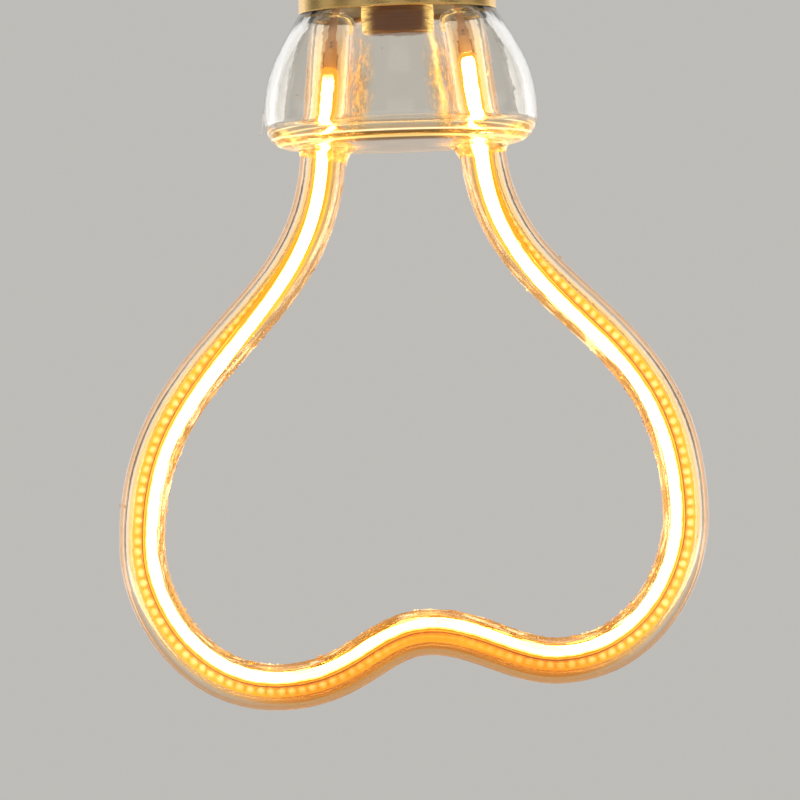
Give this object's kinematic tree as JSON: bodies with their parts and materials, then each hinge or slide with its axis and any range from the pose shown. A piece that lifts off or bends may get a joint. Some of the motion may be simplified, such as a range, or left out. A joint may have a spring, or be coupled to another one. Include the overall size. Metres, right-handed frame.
{
  "type": "led bulb",
  "caption": "Screw-cap LED filament lamp: a flared glass bell carries a closed heart-shaped loop of glass tube with one flexible filament lying in it.",
  "frame": {"origin": "on the lamp's axis at the lower edge of the cap's rim, where the metal meets the glass bell", "axes": "+Z along the axis out of the cap, towards the centre contact; the loop hangs in the XZ plane below the origin, and the picture looks along +Y"},
  "size_m": [0.0811, 0.0378, 0.1225],
  "materials": {
    "cap_brass": "rolled sheet, satin, slightly tarnished",
    "contact_metal": "stamped, satin",
    "insulator": "black moulded, glossy",
    "cement": "grainy, matt, beige",
    "solder": "bright, slightly dimpled",
    "clear_glass": "clear, fire-polished, with a few seeds and draw lines",
    "film": "amber polyimide with copper tracks",
    "chips": "lit",
    "front_bead": "phosphor silicone, satin, lit",
    "back_bead": "phosphor silicone, satin, lit",
    "tab_metal": "plated, satin",
    "lead_metal": "drawn, satin, heat-tinted",
    "weld_metal": "darkened",
    "cup": "dark brown moulded, satin",
    "board": "green solder mask over copper",
    "package": "black moulding compound with tinned legs",
    "capacitor_can": "blue-black sleeve with a bright end",
    "ferrite": "matt ferrite with an enamelled copper winding",
    "capacitor_box": "dark red coating",
    "resistor_body": "grey-green lacquer",
    "live_insulation": "brown sleeve",
    "neutral_insulation": "blue sleeve"
  },
  "bodies": {
    "root": {"screw_shell": "cap_brass", "cap_insulator": "insulator", "centre_contact": "contact_metal", "centre_solder": "solder", "cap_cement": "cement", "glass_bell": "clear_glass", "glass_loop": "clear_glass", "filament_film": "film", "led_chips": "chips", "front_phosphor": "front_bead", "back_phosphor": "back_bead", "left_end_tab": "tab_metal", "right_end_tab": "tab_metal", "left_lead": "lead_metal", "right_lead": "lead_metal", "left_weld": "weld_metal", "right_weld": "weld_metal", "driver_cup": "cup", "driver_board": "board", "bridge_rectifier": "package", "driver_chip": "package", "smoothing_capacitor": "capacitor_can", "inductor": "ferrite", "film_capacitor": "capacitor_box", "fuse_resistor": "resistor_body", "sense_resistors": "package", "board_solder": "solder", "live_wire": "live_insulation", "neutral_wire": "neutral_insulation", "neutral_solder": "solder"}
  },
  "joints": []
}
